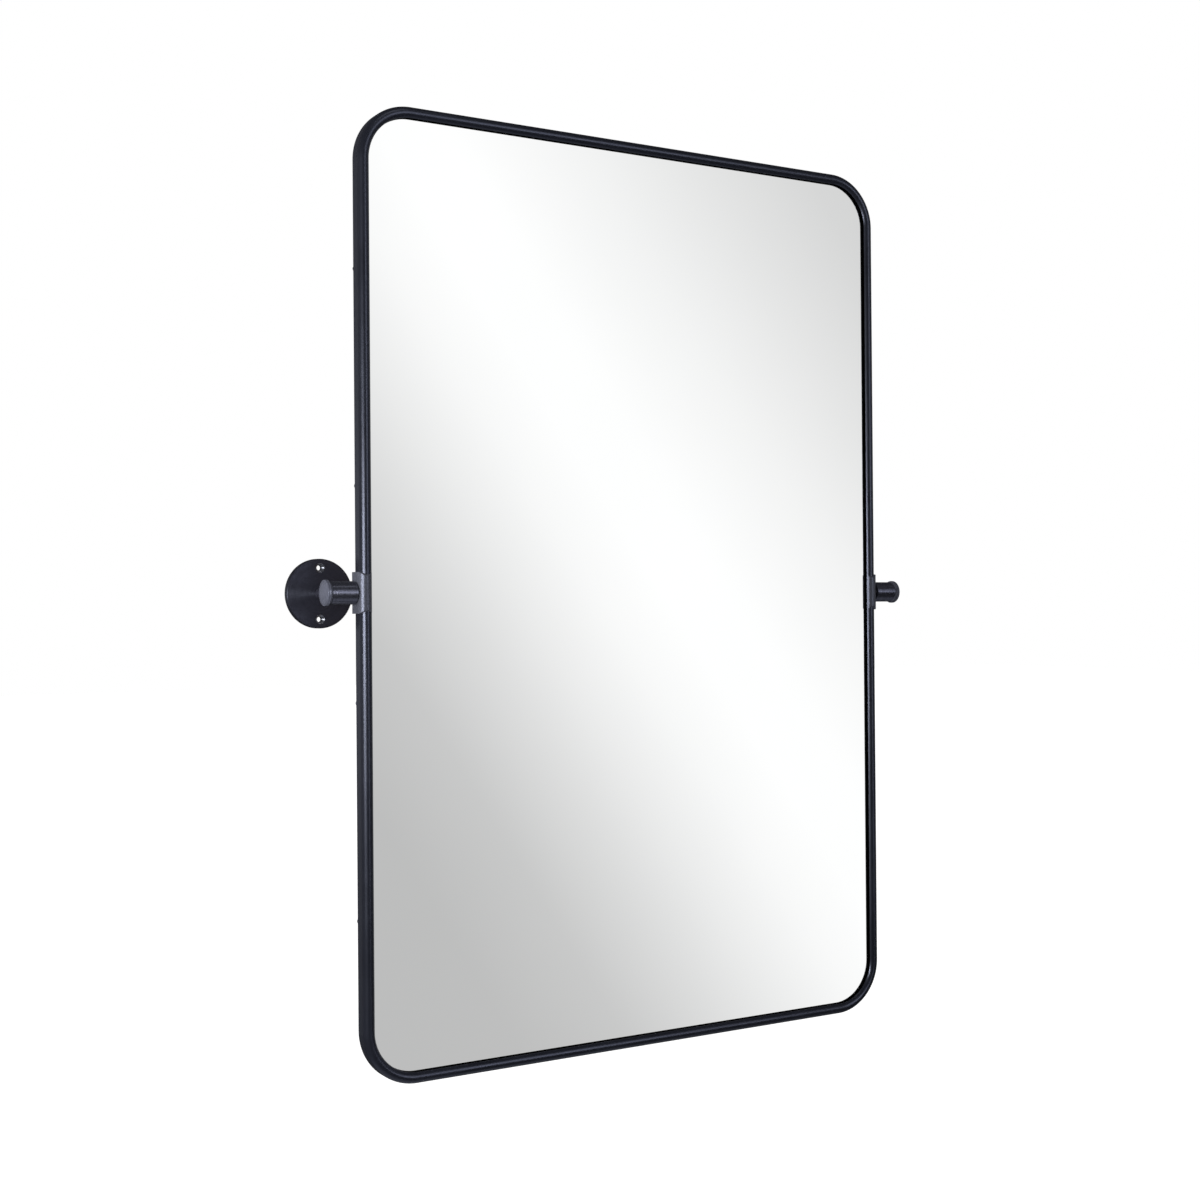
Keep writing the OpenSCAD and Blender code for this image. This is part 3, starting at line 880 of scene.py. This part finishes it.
plate_finish = turned_finish(
    "turned_black_plate", 0, PLATE_BLACK, PLATE_BLACK_LIGHT, 0.39, 0.88, PLATE_RIM_END
)
post_low, post_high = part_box("post_right")
bare_sinks(plate_finish, (post_low.x + post_high.x) / 2)
# painted light: the post's black is drawn lighter than the plate's, for light where it sits in the knob's
# shade
post_finish = plated("turned_black_post", shade(PLATE_BLACK, 1.6), shade(PLATE_BLACK, 2.6), 0.35, 0)
post_screw_finish = plated("zinc_post_screw", ZINC_DULL, ZINC, 0.25)
for side in ("left", "right"):
    plate_mesh = cut_from(turned_mesh("wall plate", plate_outline()), wall_hole_cutter())
    node = "wall_plate_" + side
    plate_low, plate_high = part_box(node)
    on_wall(plate_mesh, (plate_low.x + plate_high.x) / 2)
    clean_mesh(plate_mesh)
    plate = add_piece("plate_" + side, plate_mesh, plate_finish, "wall_brackets", "turned_black", node)
    weigh_normals(plate)
    dress("post_" + side, post_finish)
    dress("post_screw_" + side, post_screw_finish)


# ---- Barrels and bushes -----------------------------------------------------------------------
# A turned barrel on each post holds two flanged nylon bushes for the pivot pin. It is oiled
# gunmetal grey, with a fine groove near the outer end, and a pocket there for spring and washer.
BARREL_RADIUS = 10.8 * MM
BARREL_LENGTH = 24.5 * MM
BARREL_EDGE = 0.4 * MM
BARREL_EDGE_STEPS = 5
BARREL_GROOVE = 21.2 * MM
GROOVE_DEPTH = 0.2 * MM
GROOVE_LIP = 0.1 * MM
GROOVE_FLOOR = 0.08 * MM
BUSH_SEAT = 5.4 * MM
PIN_BORE = 4.3 * MM
POCKET_RADIUS = 7.6 * MM
POCKET_FLOOR = 21.4 * MM
INNER_BUSH = 8 * MM
OUTER_BUSH = 6 * MM
GUNMETAL = (0.118, 0.121, 0.15, 1)
GUNMETAL_LIGHT = (0.175, 0.179, 0.222, 1)
NYLON_MOTTLE = 700
NYLON_ROUGH = (0.42, 0.55)
NYLON = (0.05, 0.05, 0.052, 1)


def barrel_outline():
    """Closed outline of the barrel, z from its inner end outwards."""
    outer_seat = POCKET_FLOOR - OUTER_BUSH
    return eased_outline(
        [
            (BUSH_SEAT, 0, 0),
            (BARREL_RADIUS, 0, BARREL_EDGE),
            (BARREL_RADIUS, BARREL_GROOVE - GROOVE_DEPTH, GROOVE_LIP),
            (BARREL_RADIUS - GROOVE_DEPTH, BARREL_GROOVE, GROOVE_FLOOR),
            (BARREL_RADIUS, BARREL_GROOVE + GROOVE_DEPTH, GROOVE_LIP),
            (BARREL_RADIUS, BARREL_LENGTH, BARREL_EDGE),
            (POCKET_RADIUS, BARREL_LENGTH, 0),
            (POCKET_RADIUS, POCKET_FLOOR, 0),
            (BUSH_SEAT, POCKET_FLOOR, 0),
            (BUSH_SEAT, outer_seat, 0),
            (PIN_BORE, outer_seat, 0),
            (PIN_BORE, INNER_BUSH, 0),
            (BUSH_SEAT, INNER_BUSH, 0),
        ],
        BARREL_EDGE_STEPS,
    )


def on_tilt_axis(mesh, side, x):
    """Turns a mesh so that its z runs outwards along the tilt axis, from x on the left or right."""
    outwards = 1 if side == "right" else -1
    pin_low, pin_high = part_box("pivot_pin_" + side)
    axis = (outwards * x, (pin_low.y + pin_high.y) / 2, 0)
    mesh.transform(Matrix.Translation(axis) @ Matrix.Rotation(outwards * math.pi / 2, 4, "Y"))


def moulded_nylon():
    """Black nylon: smooth, faintly mottled."""
    nylon, tree, shader, place = finish_nodes("black_nylon", {"Specular IOR Level": 0.4})
    mottle = noise(tree, place, NYLON_MOTTLE, 2)
    tint(tree, mottle, shader.inputs["Base Color"], shade(NYLON, 0.8), shade(NYLON, 1.3))
    vary(tree, mottle, shader.inputs["Roughness"], *NYLON_ROUGH)
    emboss(tree, shader, [(mottle, 0.03 * MM, 0.3)])
    return nylon


gunmetal = turned_finish("turned_gunmetal", 0.9, GUNMETAL, GUNMETAL_LIGHT, 0.33, 0.85)
nylon_finish = moulded_nylon()
barrel_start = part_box("barrel_right")[0].x
for side in ("left", "right"):
    barrel_mesh = turned_mesh("barrel", barrel_outline())
    on_tilt_axis(barrel_mesh, side, barrel_start)
    clean_mesh(barrel_mesh)
    node = "barrel_" + side
    barrel = add_piece("turned_barrel_" + side, barrel_mesh, gunmetal, "wall_brackets", "gunmetal", node)
    weigh_normals(barrel)
    dress("inner_bush_" + side, nylon_finish)
    dress("outer_bush_" + side, nylon_finish)


# ---- Spring, washer and tension knob ----------------------------------------------------------
# A disc spring and a washer in the barrel's end press on the bush as the domed knob is tightened
# on the pin. The knob is turned like the barrel, with a cove behind its rim and a fine line on it.
KNOB_RADIUS = 12.1 * MM
KNOB_LENGTH = 7.5 * MM
KNOB_DOME = 2.5 * MM
KNOB_NECK = 10.4 * MM
KNOB_COVE = 2.2 * MM
KNOB_BOSS = 7 * MM
KNOB_BOSS_RISE = 0.3 * MM
KNOB_BORE = 4.05 * MM
KNOB_BORE_END = 4.9 * MM
KNOB_LINE = 0.4 * MM
KNOB_LINE_DEPTH = 0.24 * MM
KNOB_LINE_AT = 3.2 * MM
KNOB_EDGE = 0.9 * MM
KNOB_STEPS = 14
KNOB_RINGS = (3, 3000, 1)
KNOB_PATCHES = 260
KNOB_ROUGH = (0.28, 0.36)
SPRING_STEEL = (0.5, 0.5, 0.52, 1)
KNOB_GREY = (0.081, 0.084, 0.107, 1)


def knob_outline():
    """Outline of the knob from the tip of its dome to the end of its bore; z runs outwards."""
    dome_radius = (KNOB_RADIUS**2 + KNOB_DOME**2) / (2 * KNOB_DOME)
    edge_centre = KNOB_RADIUS - KNOB_EDGE
    edge_start = math.acos(edge_centre / (dome_radius - KNOB_EDGE))
    edge_height = KNOB_LENGTH - dome_radius + (dome_radius - KNOB_EDGE) * math.sin(edge_start)
    last = edge_centre + KNOB_EDGE * math.cos(edge_start)
    outline = []
    for k in range(KNOB_STEPS):
        radius = last * k / KNOB_STEPS
        outline.append((radius, KNOB_LENGTH - dome_radius + math.sqrt(dome_radius**2 - radius**2)))
    for k in range(KNOB_STEPS // 2 + 1):
        angle = edge_start * (1 - 2 * k / KNOB_STEPS)
        outline.append((edge_centre + KNOB_EDGE * math.cos(angle), edge_height + KNOB_EDGE * math.sin(angle)))
    outline.append((KNOB_RADIUS, KNOB_LINE_AT + KNOB_LINE))
    outline.append((KNOB_RADIUS - KNOB_LINE_DEPTH, KNOB_LINE_AT))
    outline.append((KNOB_RADIUS, KNOB_LINE_AT - KNOB_LINE))
    cove_centre = KNOB_NECK + KNOB_COVE
    first = math.acos((KNOB_RADIUS - cove_centre) / KNOB_COVE)
    for k in range(KNOB_STEPS + 1):
        angle = first + (math.pi - first) * k / KNOB_STEPS
        outline.append((cove_centre + KNOB_COVE * math.cos(angle), KNOB_COVE * math.sin(angle)))
    outline += [(KNOB_BOSS, 0), (KNOB_BOSS, -KNOB_BOSS_RISE), (KNOB_BORE, -KNOB_BOSS_RISE)]
    outline += [(KNOB_BORE, KNOB_BORE_END), (0, KNOB_BORE_END)]
    return outline


def knob_coat():
    """Satin grey coat over turned metal, whose rings still show through it."""
    settings = {"Specular IOR Level": 0.65, "Specular Tint": RAIL_SHEEN_TINT}
    coat, tree, shader, place = finish_nodes("satin_grey_coat", settings)
    rings = noise(tree, turning_map(tree), 1, 3, KNOB_RINGS)
    patches = noise(tree, place, KNOB_PATCHES, 3)
    tint(tree, patches, shader.inputs["Base Color"], shade(KNOB_GREY, 0.85), shade(KNOB_GREY, 1.15))
    vary(tree, patches, shader.inputs["Roughness"], *KNOB_ROUGH)
    emboss(tree, shader, [(rings, RING_DEPTH, 0.5)])
    return coat


knob_finish = knob_coat()
spring_finish = plated("spring_steel", shade(SPRING_STEEL, 0.7), SPRING_STEEL, 0.3)
knob_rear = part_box("tension_knob_right")[1].x - KNOB_LENGTH
for side in ("left", "right"):
    dress("disc_spring_" + side, spring_finish)
    dress("thrust_washer_" + side, spring_finish)
    knob_mesh = turned_mesh("knob", knob_outline())
    on_tilt_axis(knob_mesh, side, knob_rear)
    clean_mesh(knob_mesh)
    node = "tension_knob_" + side
    add_piece("domed_knob_" + side, knob_mesh, knob_finish, "knob_" + side, "gunmetal", node)


# ---- Camera, light and floor ------------------------------------------------------------------
# The mirror hangs in a white studio, lit by one soft box at its left and a small one above. The
# glass shows a bright band that falls off slowly to both sides. Gloss on the black parts shows a
# dim room with a white card in front. Matt faces get daylight from the left and behind.
CAMERA_PLACE = (-0.91144, -1.50804, -0.01658)
CAMERA_YAW = math.radians(30.925)
CAMERA_PITCH = math.radians(0.305)
CAMERA_ROLL = math.radians(-0.444)
CAMERA_LENS = 50.516
CAMERA_SENSOR = 36
BAND_DIRECTION = (0.7391, 0.4215, 0.5254)
BAND_TONES = (
    (-1, 0.45), (-0.155, 0.515), (-0.1, 0.583), (-0.05, 0.732), (-0.02, 0.832), (0.02, 0.946),
    (0.055, 1), (0.09, 1), (0.15, 0.901), (0.2, 0.787), (0.25, 0.68), (0.34, 0.6), (1, 0.55),
)
BAND_SCALE = 1.06
UP = (0, 0, 1)
DOWN = (0, 0, -1)
TO_FRONT_RIGHT = (0.5446, -0.8387, 0)
TO_BACK_RIGHT = (0.8387, 0.5446, 0)
TO_RIGHT = (0.978, -0.208, 0)
TO_BACK = (0.1, 0.995, 0)
TO_BACK_LEFT = (-0.8, 0.6, 0)
DIM_ROOM = ((UP, ((-1, 0.035), (-0.15, 0.035), (0, 0.06), (1, 0.06))),)
WHITE_CARD = (
    (TO_FRONT_RIGHT, ((-1, 0), (0.3, 0), (0.6, 1), (1, 1))),
    (
        TO_BACK_RIGHT,
        ((-1, 0), (-0.3, 0), (-0.22, 2), (-0.17, 5), (-0.07, 5), (0, 2.2), (0.05, 0.9), (0.1, 0), (1, 0)),
    ),
    (
        UP,
        (
            (-1, 0), (-0.17, 0), (-0.1, 0.1), (-0.05, 0.5), (0, 1),
            (0.07, 1), (0.2, 0.6), (0.35, 0.4), (0.5, 0), (1, 0),
        ),
    ),
)
RIGHT_WALL = (
    (TO_RIGHT, ((-1, 0), (0.65, 0.05), (0.8, 0.12), (0.9, 0.2), (1, 0.22))),
    (UP, ((-1, 0.3), (-0.2, 0.3), (-0.09, 0.5), (0, 1), (1, 1))),
)
BACK_WALL = (
    (TO_BACK, ((-1, 0), (0.7, 0.05), (0.83, 0.1), (0.88, 0.24), (0.96, 0.5), (1, 0.55))),
    (UP, ((-1, 0.15), (-0.3, 0.2), (-0.09, 0.45), (0, 1), (0.03, 1), (0.12, 0.5), (0.3, 0.3), (1, 0.15))),
)
LEFT_WINDOW = (
    (TO_BACK_LEFT, ((-1, 0), (0.6, 0.05), (0.8, 0.3), (0.9, 0.4), (1, 0.45))),
    (
        UP,
        ((-1, 0.1), (-0.3, 0.12), (-0.09, 0.33), (-0.03, 0.8), (0.02, 1), (0.12, 0.5), (0.3, 0.25), (1, 0.1)),
    ),
)
PALE_GROUND = ((DOWN, ((-1, 0), (0.72, 0.03), (0.8, 0.25), (0.88, 0.4), (1, 0.42))),)
ROOM_GLOWS = (DIM_ROOM, WHITE_CARD, RIGHT_WALL, BACK_WALL, LEFT_WINDOW, PALE_GROUND)
ROOM_TINT = (0.92, 0.955, 1.09, 1)
FILL_TONES = ((-1, 0.3), (-0.2, 0.4), (0.4, 0.75), (0.8, 1.8), (1, 4.2))
SOFTBOX_PLACE = (-1.338, -1.033, 0.0)
SOFTBOX_AIM = (-0.305, -0.065, 0.0)
SOFTBOX_SIZE = (0.95, 0.24)
SOFTBOX_POWER = 21
TOP_PLACE = (-0.11, -0.9, 1.5)
TOP_AIM = (-0.32, -0.03, 0.0)
TOP_SIZE = (0.6, 0.3)
TOP_POWER = 1.1
LIGHT_TINT = (0.93, 0.95, 1.0)
FLOOR_LEVEL = -0.8
FLOOR_SIZE = 30
FLOOR_GLOW = 0.8
FLOOR_WHITE = (0.45, 0.45, 0.45, 1)

eye = bpy.data.cameras.new("camera")
eye.lens = CAMERA_LENS
eye.sensor_width = CAMERA_SENSOR
camera = placed("camera", eye)
level = Vector((math.sin(CAMERA_YAW), math.cos(CAMERA_YAW), 0)) * math.cos(CAMERA_PITCH)
ahead = level + Vector((0, 0, math.sin(CAMERA_PITCH)))
right = Matrix.Rotation(-CAMERA_ROLL, 3, ahead) @ Vector((math.cos(CAMERA_YAW), -math.sin(CAMERA_YAW), 0))
facing = Matrix((right, right.cross(ahead), -ahead)).transposed().to_4x4()
camera.matrix_world = Matrix.Translation(CAMERA_PLACE) @ facing
bpy.context.scene.camera = camera


def soft_light(name, place, aim, size, power, shaded=()):
    """Rectangular lamp at a place, facing its aim, not shown by the mirror and kept off shaded."""
    lamp = bpy.data.lights.new(name, "AREA")
    lamp.shape = "RECTANGLE"
    lamp.size, lamp.size_y = size
    lamp.energy = power
    lamp.color = LIGHT_TINT
    light = placed(name, lamp)
    facing = (Vector(aim) - Vector(place)).to_track_quat("-Z", "Y").to_matrix().to_4x4()
    light.matrix_world = Matrix.Translation(place) @ facing
    passed_over = bpy.data.collections.new(name + "_passes_over")
    for piece in (pane, *shaded):
        passed_over.objects.link(piece)
    for entry in passed_over.collection_objects:
        entry.light_linking.link_state = "EXCLUDE"
    light.light_linking.receiver_collection = passed_over


far_bracket = [bpy.data.objects[piece] for piece in ("turned_barrel_right", "domed_knob_right")]
soft_light("softbox_left", SOFTBOX_PLACE, SOFTBOX_AIM, SOFTBOX_SIZE, SOFTBOX_POWER, far_bracket)
soft_light("softbox_top", TOP_PLACE, TOP_AIM, TOP_SIZE, TOP_POWER)


def toned(tree, value, tones, scale=1):
    """Grey that follows tones, pairs of a value from -1 to 1 and a level."""
    ramp = tree.nodes.new("ShaderNodeValToRGB")
    stops = ramp.color_ramp.elements
    for position, _ in tones[1:-1]:
        stops.new((position + 1) / 2)
    for stop, (position, tone) in zip(stops, tones):
        stop.position = (position + 1) / 2
        stop.color = (tone * scale, tone * scale, tone * scale, 1)
    tree.links.new(spread(tree, value, 0, 1, -1, 1), ramp.inputs["Fac"])
    return ramp.outputs["Color"]


def studio_world():
    """White to the camera, daylight to matt faces, a dim room to gloss and the band to the mirror."""
    world = bpy.data.worlds.new("studio")
    world.use_nodes = True
    tree = world.node_tree
    looking = tree.nodes.new("ShaderNodeTexCoord").outputs["Generated"]

    def along(direction):
        dot = tree.nodes.new("ShaderNodeVectorMath")
        dot.operation = "DOT_PRODUCT"
        dot.inputs[1].default_value = direction
        tree.links.new(looking, dot.inputs[0])
        return dot.outputs["Value"]

    band = toned(tree, along(BAND_DIRECTION), BAND_TONES, BAND_SCALE)
    fill = toned(tree, along(TO_BACK_LEFT), FILL_TONES)
    room = 0.0
    for factors in ROOM_GLOWS:
        glow = 1.0
        for direction, tones in factors:
            glow = mixed(tree, 1.0, glow, toned(tree, along(direction), tones), "MULTIPLY")
        room = mixed(tree, 1.0, room, glow, "LIGHTEN")
    room = mixed(tree, 1.0, room, ROOM_TINT, "MULTIPLY")
    rays = tree.nodes.new("ShaderNodeLightPath")
    reflected = mixed(tree, rays.outputs["Is Singular Ray"], room, band)
    clear = mixed(tree, rays.outputs["Is Transmission Ray"], fill, band)
    lit = mixed(tree, rays.outputs["Is Glossy Ray"], clear, reflected)
    seen = mixed(tree, rays.outputs["Is Camera Ray"], lit, 1.0)
    tree.links.new(seen, tree.nodes["Background"].inputs["Color"])
    bpy.context.scene.world = world


def studio_floor():
    """Pale floor well below the mirror, bright enough to run into the white background."""
    mesh = bpy.data.meshes.new("floor")
    half = FLOOR_SIZE / 2
    corners = [(-half, -half), (half, -half), (half, half), (-half, half)]
    mesh.from_pydata([(x, y, FLOOR_LEVEL) for x, y in corners], [], [(0, 1, 2, 3)])
    floor = placed("floor", mesh)
    floor.visible_glossy = False
    settings = {"Base Color": FLOOR_WHITE, "Roughness": 1, "Specular IOR Level": 0}
    settings["Emission Color"] = (1, 1, 1, 1)
    material, tree, shader, _ = finish_nodes("pale_floor", settings)
    rays = tree.nodes.new("ShaderNodeLightPath")
    glow = reckon(tree, "MULTIPLY", rays.outputs["Is Camera Ray"], FLOOR_GLOW)
    tree.links.new(glow, shader.inputs["Emission Strength"])
    mesh.materials.append(material)


studio_world()
studio_floor()
bpy.context.scene.view_settings.view_transform = "Standard"
